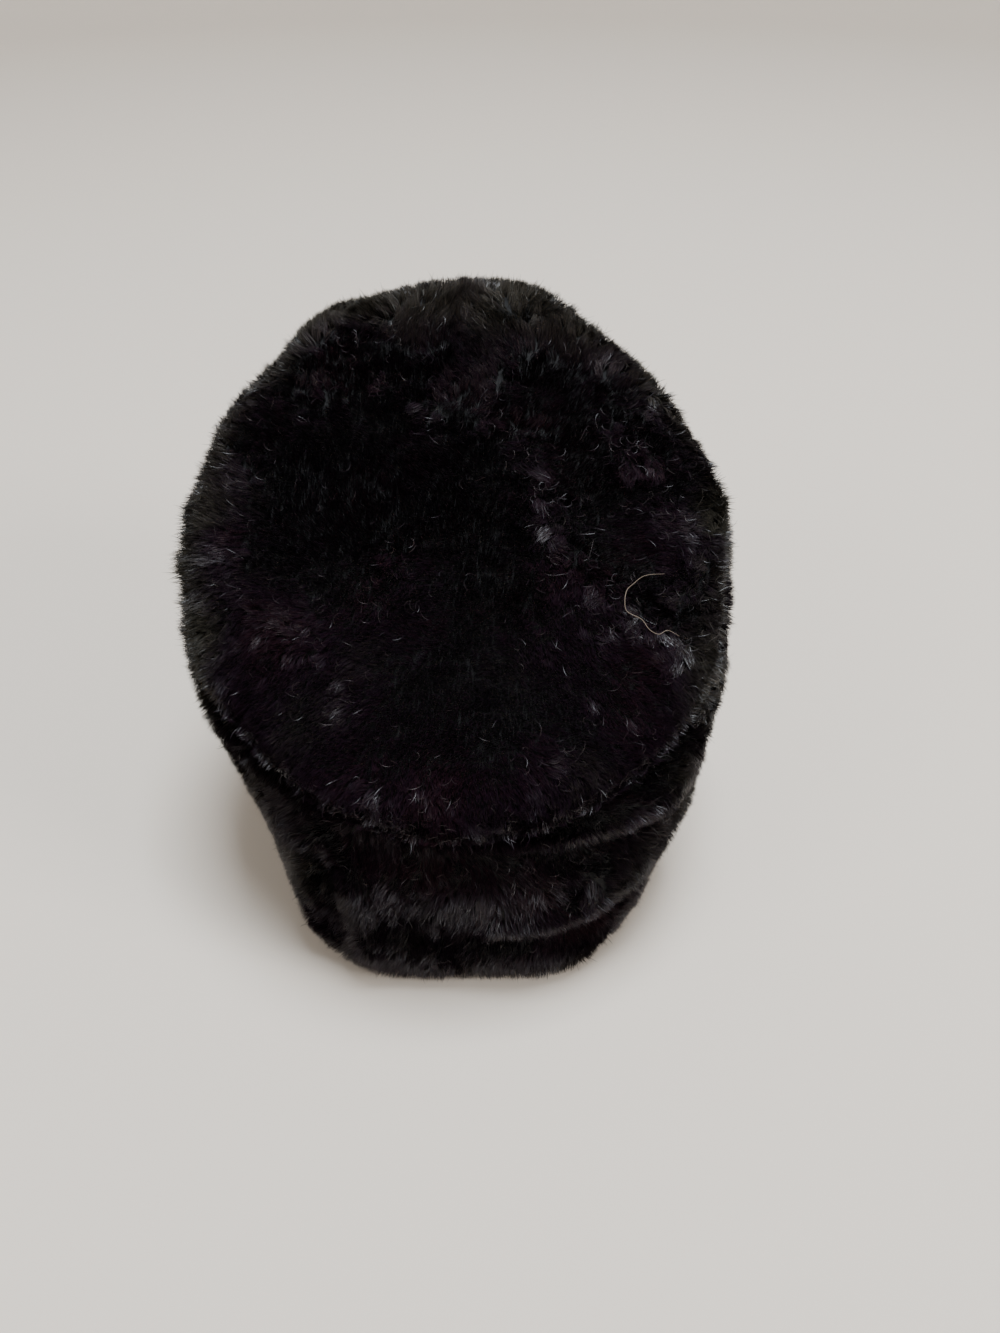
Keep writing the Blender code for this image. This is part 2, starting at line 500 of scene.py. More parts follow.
def crown_furred(face):
    """Whether a face of the crown carries fur: all but its flat underside."""
    return face.normal.dot(Vector(CROWN_FACING)) > UNDERSIDE_LOOK


def crown_bare(face):
    """Whether a face of the crown is bare hide."""
    return not crown_furred(face)


def under_crown(face):
    """Whether a face is the wall's flat top, which the crown hides."""
    return all(lift_of(vert.co) > SEAM_LIFT - SEAM_SLACK for vert in face.verts)


def away(face):
    """How far a face of the wall looks away from the hat's middle, from -1 to 1."""
    middle = face.calc_center_median()
    return face.normal.dot(Vector((middle.x, middle.y, 0)).normalized())


def wall_furred(face):
    """Whether a face of the wall carries fur."""
    return away(face) > FURRED_LOOK and not under_crown(face)


def wall_bare(face):
    """Whether a face of the wall is bare hide, inside the hat."""
    return away(face) < BARE_LOOK and not under_crown(face)


def crown_chart(places):
    """Places on the crown as metres across it and up its slope, from its middle."""
    from_middle = places - CROWN_MIDDLE
    return np.stack([from_middle[:, 0], from_middle @ UPHILL], 1)


def crown_reach(places):
    """How near each place is to the crown's edge, from 0 in its middle to 1."""
    return np.linalg.norm(crown_chart(places) / (CROWN_HALF_WIDTH, CROWN_HALF_LENGTH), axis=1)


def wall_angle(places):
    """Turn round the wall from the nape to the hat's right."""
    return np.arctan2(places[:, 0], -places[:, 1])


def depth_below(places):
    """How far places lie under the plane through the crown's middle."""
    return (CROWN_MIDDLE - places) @ CROWN_FACING


def rise(values, start, end):
    """A smooth step from 0 at the start to 1 at the end."""
    share = ((values - start) / (end - start)).clip(0, 1)
    return share * share * (3 - 2 * share)


class CrownPile:
    """How the fur of the crown lies.

    Zones start and end in metres, but the edge as a share of the crown's reach. Shares say how far
    the fur lies over, tints how far its colour goes from brown through black to olive, and gains
    how much longer it is than usual. The olive tint at the edge and the brow is painted rim light.
    """

    edge_zone = (0.76, 0.98)
    nape_zone = (-0.115, -0.06)
    brow_zone = (0.07, 0.13)
    left_zone = (0.095, 0.120)
    lip_zone = (0, 0.003)
    side_zone = (0.003, 0.009)

    ruffled = 0.3
    outward_pull = 0.7
    downhill_pull = 0.8
    upward_pull = 2

    lump_depth = 0.5
    edge_share = 0.32
    edge_share_lost_at_nape = 0.30
    side_share = 0.30
    side_share_won_at_nape = 0.60
    brow_share = 0.24

    plain_tint = 0.38
    # The tints at the edge, less at the nape, and at the brow are painted rim light: paler olive
    # where light catches the fur
    edge_painted_rim_light = 0.56
    edge_painted_rim_light_lost_at_nape = 0.50
    brow_painted_rim_light = 0.38

    edge_gain = 0.10
    left_gain = 0.15
    tuft_gain = 0.95
    brow_gain = 0.12
    lip_loss = 0.35

    def flow(self, places):
        """Down the slope, outwards near the edge, and up on its side and on the nape's lip."""
        out = places - CROWN_MIDDLE
        reach = crown_reach(places)[:, None]
        lip = rise(depth_below(places), *self.lip_zone) * self.at_nape(places)
        up = np.maximum(lip, self.over_edge(places))[:, None]
        brow = self.at_brow(places)[:, None]
        outward = unit(out) * reach**2 * self.outward_pull
        level = outward - UPHILL * self.downhill_pull * (1 - brow)
        return level * (1 - up) + CROWN_FACING * self.upward_pull * up

    def patches(self, places):
        """The places on the crown's chart, and the middles, reaches and shares of its sheen."""
        spots = np.array(CROWN_SHEEN)
        middles = spots[:, :2] / PER_METRE
        return crown_chart(places), middles, spots[:, 2] / PER_METRE, spots[:, 3]

    def floor_share(self, places):
        """The edge and the brow lie over in lumps, and the side most of all at the nape."""
        lumps = self.lump_depth * noise_at(places, LUMP, LUMP_SEED)[:, 0]
        nape = self.at_nape(places)
        edge = self.edge_share - self.edge_share_lost_at_nape * nape + lumps
        edge = edge.clip(0, 1) * self.at_edge(places)
        side = self.side_share + self.side_share_won_at_nape * nape
        edge = np.maximum(edge, side * self.over_edge(places))
        return np.maximum(edge, (self.brow_share + lumps) * self.at_brow(places))

    def tint(self, places):
        """Purple-black inside, and paler olive at the brow and at the edge but for the nape, as
        painted rim light.
        """
        edge = self.edge_painted_rim_light - self.edge_painted_rim_light_lost_at_nape * self.at_nape(places)
        edge = edge * self.at_edge(places)
        return self.plain_tint + np.maximum(edge, self.brow_painted_rim_light * self.at_brow(places))

    def length(self, places):
        """The pile is longest at the edge of the brow and of the left, and short under the lip."""
        left = rise(-crown_chart(places)[:, 0], *self.left_zone)
        under_lip = self.over_edge(places) * self.at_nape(places)
        edge = self.edge_gain * self.at_edge(places) + self.left_gain * left
        from_tuft = np.linalg.norm(crown_chart(places) - LEFT_TUFT, axis=1) / LEFT_TUFT_REACH
        edge += self.tuft_gain * np.exp(-from_tuft**2)
        return 1 + edge + self.brow_gain * self.at_brow(places) - self.lip_loss * under_lip

    def at_edge(self, places):
        """How near each place is to the crown's edge, from 0 to 1."""
        return rise(crown_reach(places), *self.edge_zone)

    def at_nape(self, places):
        """How near each place is to the nape, from 0 to 1."""
        return 1 - rise(crown_chart(places)[:, 1], *self.nape_zone)

    def at_brow(self, places):
        """How near each place is to the brow, from 0 to 1."""
        return rise(crown_chart(places)[:, 1], *self.brow_zone)

    def over_edge(self, places):
        """How far each place lies down the side of the crown's rounded edge, from 0 to 1."""
        return rise(depth_below(places), *self.side_zone)


class WallPile:
    """How the fur of the wall lies.

    Zones start and end in metres or in degrees from the nape. Shares, tints and gains are those of
    the crown's pile.
    """

    seam_zone = (SEAM_LIFT - 0.018, SEAM_LIFT - 0.004)
    left_zone = (36, 50)
    left_end_zone = (90, 110)
    nape_middle = 2
    nape_end_zone = (42, 62)
    crease_zone = (0.074, 0.088)
    flank_zone = (36, 55)
    hollow_place = (27, 0.036)
    hollow_reach = (14, 0.012)

    ruffled = 1.0
    downward_pull = 0.25
    seam_pull = 0.9
    seam_pull_lost_at_left = 0.7

    plain_share = 0.10

    plain_tint = 0.56
    # The flanks' tint is painted rim light, paler olive where light catches the wall's sides, and
    # the tint lost in the crease is painted shade under the crown's overhang
    flank_painted_rim_light = 0.24
    crease_painted_shade = 0.08
    hollow_tint_lost = 0.50

    seam_gain = 0.25
    left_seam_gain = 0.35

    def flow(self, places):
        """Down to the rim, but up over the seam at the crown."""
        seam = self.at_seam(places)[:, None]
        up = self.seam_pull - self.seam_pull_lost_at_left * self.at_left(places)[:, None]
        down = np.array((0, 0, -self.downward_pull))
        return down * (1 - seam) + CROWN_FACING * up * seam

    def patches(self, places):
        """The places on the wall's chart, and the middles, reaches and shares of its sheen."""
        spots = np.array(WALL_SHEEN)
        chart = np.stack([wall_angle(places) * WALL_RADIUS, places[:, 2]], 1)
        turn = np.radians(spots[:, 0])
        middles = np.stack([turn * WALL_RADIUS, spots[:, 1] / PER_METRE], 1)
        return chart, middles, spots[:, 2] / PER_METRE, spots[:, 3]

    def floor_share(self, places):
        """The same small share everywhere."""
        return np.full(len(places), self.plain_share)

    def tint(self, places):
        """Black with a little olive, paler olive on the flanks as painted rim light, blacker in the
        crease under the crown at the nape as painted shade, and brown in the hollow there.
        """
        angle = np.degrees(wall_angle(places))
        height = places[:, 2]
        nape = 1 - rise(np.abs(angle - self.nape_middle), *self.nape_end_zone)
        crease = nape * rise(height, *self.crease_zone)
        round_hollow = (angle - self.hollow_place[0]) / self.hollow_reach[0]
        over_hollow = (height - self.hollow_place[1]) / self.hollow_reach[1]
        hollow = np.exp(-(round_hollow**2) - over_hollow**2)
        tint = self.plain_tint + self.flank_painted_rim_light * rise(np.abs(angle), *self.flank_zone)
        return tint - self.crease_painted_shade * crease - self.hollow_tint_lost * hollow

    def length(self, places):
        """The pile is longest at the seam, most of all on the left."""
        gain = self.seam_gain + self.left_seam_gain * self.at_left(places)
        return 1 + gain * self.at_seam(places)

    def at_seam(self, places):
        """How near each place is to the seam at the crown, from 0 to 1."""
        return rise((places - CROWN_MIDDLE) @ CROWN_FACING, *self.seam_zone)

    def at_left(self, places):
        """Whether each place is on the left of the nape, from 0 to 1."""
        left = -np.degrees(wall_angle(places))
        return rise(left, *self.left_zone) * (1 - rise(left, *self.left_end_zone))


def share_at(pile, places, seed):
    """How far the fur lies over at each place, from 0 for upright to 1."""
    chart, middles, reaches, shares = pile.patches(places)
    ragged = noise_at(places, RAGGED, seed + RAGGED_SEED)
    chart = chart + ragged[:, :2] * RAGGED_SHIFT
    share = pile.floor_share(places)
    for middle, reach, most in zip(middles, reaches, shares):
        apart = np.linalg.norm(chart - middle, axis=1) / reach
        share = np.maximum(share, most * np.exp(-apart**2))
    speckle = noise_at(places, SPECKLE, seed + SPECKLE_SEED)[:, 2]
    strays = STRAY_SHARE * (speckle - STRAY_FROM).clip(0)
    return (share * (SPECKLE_MIDDLE + SPECKLE_SWING * speckle) + strays).clip(0, 1)


class Tufts:
    """Small gatherings of hairs: where each stands, which way it leans and how long it is."""

    def __init__(self, surface, pile, fur, seed):
        rng = np.random.default_rng(seed)
        count = int(surface.areas.sum() / fur.tuft_size**2)
        self.places, self.normals = surface.scatter(count, rng)
        self.share = share_at(pile, self.places, seed)
        ways = pile.flow(self.places)
        ways = ways + SWIRL_PULL * noise_at(self.places, SWIRL, seed + SWIRL_SEED)
        ruffled = (pile.ruffled + LAID_RUFFLE_PULL * self.share)[:, None]
        ways = ways + ruffled * noise_at(self.places, RUFFLE, seed + RUFFLE_SEED)
        ways = ways + CHANCE_PULL * rng.normal(size=ways.shape)
        self.ways = unit(along_surface(ways, self.normals))
        self.curls = self.ways + CURL_PULL * self.share[:, None] * rng.normal(size=ways.shape)
        swell = noise_at(self.places, SWELL, seed + SWELL_SEED)[:, 1]
        self.lean = fur.upright + (fur.laid - fur.upright) * self.share
        self.lean = self.lean * (1 + TUFT_LEAN_SPREAD * rng.normal(size=count))
        self.lean = self.lean.clip(*TUFT_LEANS)
        chance = TUFT_LENGTH_SPREAD * rng.normal(size=count)
        self.length = fur.length * (1 + SWELL_DEPTH * swell + chance)
        self.length *= pile.length(self.places)
        self.gather = fur.gather * self.share * (1 + GATHER_SPREAD * rng.normal(size=count))
        self.gather = self.gather.clip(0, GATHER_MOST)
        self.tree = kdtree.KDTree(count)
        for index, place in enumerate(self.places):
            self.tree.insert(place, index)
        self.tree.balance()

    def nearest(self, places):
        """The number of the tuft that each place belongs to."""
        return np.array([self.tree.find(place)[1] for place in places])


def hair_corners(places, normals, tufts, fur, rng):
    """Four corners of each short hair: its root, both sides of its middle and its tip."""
    mine = tufts.nearest(places)
    count = len(places)
    chance = HAIR_LENGTH_SPREAD * rng.normal(size=count)
    length = tufts.length[mine] * (1 + chance).clip(*HAIR_LENGTHS)
    # A few hairs stand proud of the others and blur the outline
    proud = rng.random(count) < fur.proud
    length *= np.where(proud, rng.uniform(*PROUD_LENGTHS, count), 1)
    lean = tufts.lean[mine] + HAIR_LEAN_SPREAD * rng.normal(size=count)
    lean = lean.clip(*HAIR_LEANS)
    # Hairs that lie over have their roots higher, so that their tips still reach the surface
    height = length * (np.cos(lean * LOWER_LEAN) + np.cos(lean * UPPER_LEAN)) / 2
    depth = (0.5 * fur.root_depth + 0.5 * height)[:, None]
    length = length[:, None]
    lean = lean[:, None]
    roots = places - normals * depth
    ways = tufts.ways[mine] + HAIR_WAY_SPREAD * rng.normal(size=(count, 3))
    ways = unit(along_surface(ways, normals))
    lower_run = normals * np.cos(lean * LOWER_LEAN) + ways * np.sin(lean * LOWER_LEAN)
    curls = tufts.curls[mine] + HAIR_CURL_SPREAD * rng.normal(size=(count, 3))
    curls = unit(along_surface(curls, normals))
    upper_run = normals * np.cos(lean * UPPER_LEAN) + curls * np.sin(lean * UPPER_LEAN)
    middles = roots + lower_run * length / 2
    tips = middles + upper_run * length / 2
    tuft_lean = tufts.lean[:, None]
    peaks = tufts.normals * np.cos(tuft_lean) + tufts.ways * np.sin(tuft_lean)
    peaks = tufts.places - tufts.normals * fur.root_depth + peaks * tufts.length[:, None]
    pull = (tufts.gather[mine] * rng.uniform(*HAIR_PULLS, count))[:, None]
    tips += (peaks[mine] - tips) * pull
    middles += (peaks[mine] - middles) * pull * MIDDLE_PULL
    turn = rng.uniform(-HAIR_TURN, HAIR_TURN, count)[:, None]
    run = unit(tips - roots)
    side = unit(np.cross(run, normals))
    side = side * np.cos(turn) + np.cross(run, side) * np.sin(turn)
    half = side * fur.width / 2 * rng.uniform(*HAIR_WIDTHS, count)[:, None]
    return np.stack([roots, middles + half, middles - half, tips], 1)


def wisp_corners(places, normals, tufts, fur, rng):
    """Corners of each longer curved hair: pairs along its length, and its tip."""
    mine = tufts.nearest(places)
    count = len(places)
    length = fur.length * rng.uniform(*WISP_LENGTHS, count)[:, None]
    ways = tufts.ways[mine] + WISP_WAY_SPREAD * rng.normal(size=(count, 3))
    ways = unit(along_surface(ways, normals))
    bend = (rng.normal(size=count) * WISP_BEND_SPREAD)[:, None]
    lean = (WISP_LEAN + WISP_LAID_LEAN * tufts.share[mine])[:, None]
    tip_lean = (lean + rng.uniform(*WISP_TIP_LEANS, (count, 1))).clip(0, WISP_LEAN_MOST)
    place = places - normals * WISP_DEPTH
    across = np.cross(normals, ways)
    rows = []
    for step in range(WISP_STEPS):
        share = step / WISP_STEPS
        turned = ways * np.cos(bend * step) + across * np.sin(bend * step)
        now = lean + (tip_lean - lean) * share
        run = normals * np.cos(now) + turned * np.sin(now)
        side = unit(np.cross(run, normals))
        half = side * fur.width / 2 * (1 - share) ** 0.5
        rows += [place + half, place - half]
        place = place + run * length / WISP_STEPS
    rows.append(place)
    return np.stack(rows, 1)


def wisp_faces():
    """Faces of a longer hair, among its corners."""
    faces = []
    for step in range(WISP_STEPS - 1):
        left, right, next_left, next_right = range(2 * step, 2 * step + 4)
        faces += [(left, right, next_right), (left, next_right, next_left)]
    return faces + [(2 * WISP_STEPS - 2, 2 * WISP_STEPS - 1, 2 * WISP_STEPS)]


def strands(corners, faces, rng):
    """Corners and faces of many strands of one kind as plain arrays, clear of the floor."""
    # No hair reaches through the floor that the rim rests on
    lowest = rng.uniform(*RIM_TIPS, (len(corners), 1))
    corners[:, :, 2] = np.maximum(corners[:, :, 2], lowest)
    each = corners.shape[1]
    first = each * np.arange(len(corners))[:, None, None]
    return corners.reshape(-1, 3), (first + np.array(faces)).reshape(-1, 3)


def mesh_from_arrays(name, places, faces, chart):
    """A mesh of triangles with a place on the colour chart for each of its points."""
    mesh = bpy.data.meshes.new(name)
    mesh.vertices.add(len(places))
    mesh.vertices.foreach_set("co", places.astype(np.float32).ravel())
    mesh.loops.add(faces.size)
    mesh.loops.foreach_set("vertex_index", faces.astype(np.int32).ravel())
    mesh.polygons.add(len(faces))
    mesh.polygons.foreach_set("loop_start", np.arange(0, faces.size, 3, dtype=np.int32))
    layer = mesh.uv_layers.new(name=CHART)
    layer.uv.foreach_set("vector", chart[faces.ravel()].astype(np.float32).ravel())
    mesh.update(calc_edges=True)
    return mesh


def chart_of(tint, along, side):
    """Places on the colour chart for strands that each have these points."""
    right = tint[:, None] + CHART_HALF_WIDTH * np.array(side)
    up = CHART_HEIGHT * (CHART_START + CHART_RUN * np.array(along))
    up = np.broadcast_to(up, right.shape)
    return np.stack([right, up], 2).reshape(-1, 2)


def new_piece(name, mesh, material):
    """Puts a finished mesh in the scene, riding on the hat."""
    piece = bpy.data.objects.new(name, mesh)
    bpy.context.scene.collection.objects.link(piece)
    mesh.materials.append(material)
    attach(piece, "root")
    return piece


def tints(pile, places, seed, rng):
    """Each hair's tint, 0 for brown, a half for black and 1 for olive: it drifts and differs at
    random, and the pile adds painted rim light and painted shade to it.
    """
    drift = TINT_DRIFT * noise_at(places, SWIRL, seed + TINT_SEED)[:, 0]
    tint = pile.tint(places) + drift + TINT_SPREAD * rng.normal(size=len(places))
    return tint.clip(*TINTS)


def add_fur(name, surface, pile, tufts, fur, seed, chosen):
    """One piece of fur on the chosen faces."""
    rng = np.random.default_rng(seed)
    places, normals = surface.scatter(fur.hairs, rng, chosen)
    corners, faces = strands(hair_corners(places, normals, tufts, fur, rng), HAIR_FACES, rng)
    chart = chart_of(tints(pile, places, seed, rng), HAIR_ALONG, HAIR_SIDE)
    likely = chosen * (WISP_UPRIGHT + share_at(pile, surface.middles, seed))
    places, normals = surface.scatter(fur.wisps, rng, likely)
    wisps = wisp_corners(places, normals, tufts, fur, rng)
    wisps, wisp_parts = strands(wisps, wisp_faces(), rng)
    along = [step / WISP_STEPS for step in range(WISP_STEPS) for _ in range(2)] + [1]
    side = [1, -1] * WISP_STEPS + [0]
    wisp_chart = chart_of(tints(pile, places, seed, rng), along, side)
    mesh = mesh_from_arrays(
        name,
        np.concatenate([corners, wisps]),
        np.concatenate([faces, wisp_parts + len(corners)]),
        np.concatenate([chart, wisp_chart]),
    )
    new_piece(name, mesh, fur_material(fur))


def mix_colours(nodes, links, factor, first, second):
    """A node that mixes two colours or the outputs that carry them."""
    mix = nodes.new("ShaderNodeMix")
    mix.data_type = "RGBA"
    links.new(factor, mix.inputs["Factor"])
    for socket, value in (("A", first), ("B", second)):
        links.new(value, mix.inputs[socket])
    return mix.outputs["Result"]


def map_range(nodes, links, value, low, high, to_low=0.0, to_high=1.0):
    """An output that carries a value from one range over to another."""
    scaled = nodes.new("ShaderNodeMapRange")
    scaled.inputs["From Min"].default_value = low
    scaled.inputs["From Max"].default_value = high
    scaled.inputs["To Min"].default_value = to_low
    scaled.inputs["To Max"].default_value = to_high
    links.new(value, scaled.inputs["Value"])
    return scaled.outputs["Result"]


def fur_colour_and_shade_group():
    """Colour of a hair from its tint and how far along it is, with painted shade that darkens its
    root and painted light that brightens its tip.
    """
    if "Fur colour" in bpy.data.node_groups:
        return bpy.data.node_groups["Fur colour"]
    group = bpy.data.node_groups.new("Fur colour", "ShaderNodeTree")
    for name, kind in (
        ("Tint", "NodeSocketFloat"),
        ("Along", "NodeSocketFloat"),
        ("Brown", "NodeSocketColor"),
        ("Black", "NodeSocketColor"),
        ("Olive", "NodeSocketColor"),
    ):
        group.interface.new_socket(name, in_out="INPUT", socket_type=kind)
    group.interface.new_socket("Color", in_out="OUTPUT", socket_type="NodeSocketColor")
    nodes, links = group.nodes, group.links
    given = nodes.new("NodeGroupInput").outputs
    result = nodes.new("NodeGroupOutput")
    low = map_range(nodes, links, given["Tint"], 0.0, 0.5)
    high = map_range(nodes, links, given["Tint"], 0.5, 1.0)
    dark = mix_colours(nodes, links, low, given["Brown"], given["Black"])
    colour = mix_colours(nodes, links, high, dark, given["Olive"])
    # Painted shade down each hair: darker at the root, a little brighter at the tip
    shade = map_range(nodes, links, given["Along"], 0.0, 1.0, ROOT_PAINTED_SHADE, TIP_PAINTED_LIGHT)
    with_painted_shade = nodes.new("ShaderNodeVectorMath")
    with_painted_shade.operation = "SCALE"
    links.new(colour, with_painted_shade.inputs[0])
    links.new(shade, with_painted_shade.inputs["Scale"])
    links.new(with_painted_shade.outputs["Vector"], result.inputs["Color"])
    return group


def fur_material(fur):
    """The finish of all the fur, read from the colour chart."""
    if "Fur" in bpy.data.materials:
        return bpy.data.materials["Fur"]
    material = bpy.data.materials.new("Fur")
    material.use_nodes = True
    nodes, links = material.node_tree.nodes, material.node_tree.links
    shader = nodes["Principled BSDF"]
    chart = nodes.new("ShaderNodeUVMap")
    chart.uv_map = CHART
    parts = nodes.new("ShaderNodeSeparateXYZ")
    links.new(chart.outputs["UV"], parts.inputs["Vector"])
    colour = nodes.new("ShaderNodeGroup")
    colour.node_tree = fur_colour_and_shade_group()
    links.new(parts.outputs["X"], colour.inputs["Tint"])
    along = map_range(nodes, links, parts.outputs["Y"], 0.0, CHART_HEIGHT)
    links.new(along, colour.inputs["Along"])
    for name, shade in (("Brown", fur.brown), ("Black", fur.black), ("Olive", fur.olive)):
        colour.inputs[name].default_value = (*shade, 1)
    links.new(colour.outputs["Color"], shader.inputs["Base Color"])
    shader.inputs["Roughness"].default_value = fur.roughness
    shader.inputs["Specular IOR Level"].default_value = fur.gloss
    return material


def grained_material(name, dark, pale, scale, roughness):
    """A dull finish that drifts between two colours in grains, so many to the metre."""
    material = bpy.data.materials.new(name)
    material.use_nodes = True
    nodes, links = material.node_tree.nodes, material.node_tree.links
    shader = nodes["Principled BSDF"]
    place = nodes.new("ShaderNodeTexCoord")
    grain = nodes.new("ShaderNodeTexNoise")
    grain.inputs["Scale"].default_value = scale
    links.new(place.outputs["Object"], grain.inputs["Vector"])
    shade = nodes.new("ShaderNodeMix")
    shade.data_type = "RGBA"
    shade.inputs["A"].default_value = (*dark, 1)
    shade.inputs["B"].default_value = (*pale, 1)
    links.new(grain.outputs["Fac"], shade.inputs["Factor"])
    links.new(shade.outputs["Result"], shader.inputs["Base Color"])
    shader.inputs["Roughness"].default_value = roughness
    return material


def hide_material(name, colour):
    """Hide with a fine grain."""
    dark, pale = ([channel * shade for channel in colour] for shade in HIDE_SHADES)
    return grained_material(name, dark, pale, HIDE_GRAINS, HIDE_ROUGHNESS)


def add_hide(name, node, furred, bare, hide):
    """The hide of one node: its furred side drawn in under the fur, and its bare side as it is."""
    mesh = node_copy(node)
    for face in mesh.faces:
        face.material_index = 1 if bare(face) else 0
        face.smooth = True
    outwards = facings(mesh, [face for face in mesh.faces if furred(face)])
    for vert in mesh.verts:
        vert.co -= Vector(outwards[vert.index]) * hide.depth
    data = bpy.data.meshes.new(name)
    mesh.to_mesh(data)
    mesh.free()
    piece = new_piece(name, data, hide_material(name + "_undercoat", hide.undercoat))
    data.materials.append(hide_material(name + "_flesh", hide.flesh_side))
    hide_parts(node)


def caught_path():
    """The caught hair's path over the tips of the crown's fur, as a smooth run of places."""
    mesh = node_copy("crown")
    crown = bvhtree.BVHTree.FromBMesh(mesh)
    mesh.free()
    facing = Vector(CROWN_FACING)
    knots = []
    for across, along, off in CAUGHT_HAIR:
        above = Vector(CROWN_MIDDLE) + Vector((across / PER_METRE, 0, 0))
        above += facing * CLEAR_OF_CROWN
        above += Vector(UPHILL) * along / PER_METRE
        tips = crown.ray_cast(above, -facing)[0]
        knots.append(tips + facing * off / PER_METRE)
    # Each stretch leaves a knot along the line from the knot before it to the one after it, and
    # its handle is a third of half that line
    before = [knots[0], *knots[:-1]]
    after = [*knots[1:], knots[-1]]
    handles = [(end - start) / 2 / 3 for start, end in zip(before, after)]
    path = []
    for start, end, leave, arrive in zip(knots, knots[1:], handles, handles[1:]):
        curve = geometry.interpolate_bezier(start, start + leave, end - arrive, end, PATH_STEPS)
        path += curve[:-1]
    return [*path, knots[-1]]


def add_caught_hair(caught):
    """A thin round hair that tapers to its ends."""
    path = caught_path()
    mesh = bmesh.new()
    corner = mesh.verts.layers.float_vector.new("corner")
    corners = bmesh.ops.create_circle(mesh, cap_ends=True, segments=CAUGHT_SIDES, radius=1)["verts"]
    for vert in corners:
        vert[corner] = vert.co
    ring = list(mesh.edges)
    for index, place in enumerate(path):
        run = path[min(index + 1, len(path) - 1)] - path[max(index - 1, 0)]
        turn = run.to_track_quat("Z", "Y")
        from_middle = abs(2 * index / (len(path) - 1) - 1)
        radius = caught.radius * (1 - CAUGHT_TAPER * from_middle**CAUGHT_TAPER_POWER)
        if index:
            made = bmesh.ops.extrude_edge_only(mesh, edges=ring)["geom"]
            corners = [item for item in made if isinstance(item, bmesh.types.BMVert)]
            ends = set(corners)
            edges = [item for item in made if isinstance(item, bmesh.types.BMEdge)]
            ring = [edge for edge in edges if ends.issuperset(edge.verts)]
        for vert in corners:
            vert.co = place + turn @ vert[corner] * radius
    bmesh.ops.contextual_create(mesh, geom=ring)
    bmesh.ops.recalc_face_normals(mesh, faces=mesh.faces)
    data = bpy.data.meshes.new("caught_hair")
    mesh.to_mesh(data)
    mesh.free()
    data.shade_smooth()
    material = grained_material(
        "caught_hair", caught.dark, caught.pale, CAUGHT_GRAINS, CAUGHT_ROUGHNESS
    )
    new_piece("caught_hair", data, material)


class TELPEK_OT_hides(bpy.types.Operator):
    """Builds the hide of the crown and the wall"""

    bl_idname = "telpek.hides"
    bl_label = "Hides"

    def execute(self, context):
        hide = context.scene.telpek_hide
        add_hide("crown_hide", "crown", crown_furred, crown_bare, hide)
        add_hide("wall_hide", "side_wall", wall_furred, wall_bare, hide)
        return {"FINISHED"}


class TELPEK_OT_crown_fur(bpy.types.Operator):
    """Grows the fur of the crown, in a nape half and a brow half"""

    bl_idname = "telpek.crown_fur"
    bl_label = "Crown fur"

    def execute(self, context):
        fur = context.scene.telpek_fur
        surface = Surface("crown", crown_furred)
        pile = CrownPile()
        tufts = Tufts(surface, pile, fur, CROWN_SEED)
        along = surface.middles @ UPHILL
        order = np.argsort(along)
        half = np.searchsorted(surface.areas[order].cumsum(), surface.areas.sum() / 2)
        lower = np.zeros(len(along), bool)
        lower[order[:half]] = True
        parts = (("crown_fur_nape", 101, lower), ("crown_fur_brow", 102, ~lower))
        for name, seed, chosen in parts:
            add_fur(name, surface, pile, tufts, fur, seed, chosen)
        return {"FINISHED"}


class TELPEK_OT_caught_hair(bpy.types.Operator):
    """Lays the pale hair that is caught in the crown's fur"""

    bl_idname = "telpek.caught_hair"
    bl_label = "Caught hair"

    def execute(self, context):
        add_caught_hair(context.scene.telpek_caught)
        return {"FINISHED"}


class TELPEK_OT_wall_fur(bpy.types.Operator):
    """Grows the fur of the wall, in three pieces round it"""

    bl_idname = "telpek.wall_fur"
    bl_label = "Wall fur"

    def execute(self, context):
        fur = context.scene.telpek_fur
        surface = Surface("side_wall", wall_furred)
        pile = WallPile()
        tufts = Tufts(surface, pile, fur, WALL_SEED)
        angle = wall_angle(surface.middles)
        order = np.argsort(np.abs(angle))
        third = np.searchsorted(surface.areas[order].cumsum(), surface.areas.sum() / 3)
        nape = np.zeros(len(angle), bool)
        nape[order[:third]] = True
        parts = (
            ("wall_fur_nape", 201, nape),
            ("wall_fur_right", 202, ~nape & (angle > 0)),
            ("wall_fur_left", 203, ~nape & (angle <= 0)),
        )
        for name, seed, chosen in parts:
            add_fur(name, surface, pile, tufts, fur, seed, chosen)
        return {"FINISHED"}


def plain_material(name, colour, roughness):
    """An even finish of one colour."""
    material = bpy.data.materials.new(name)
    material.use_nodes = True
    shader = material.node_tree.nodes["Principled BSDF"]
    shader.inputs["Base Color"].default_value = (*colour, 1)
    shader.inputs["Roughness"].default_value = roughness
    return material


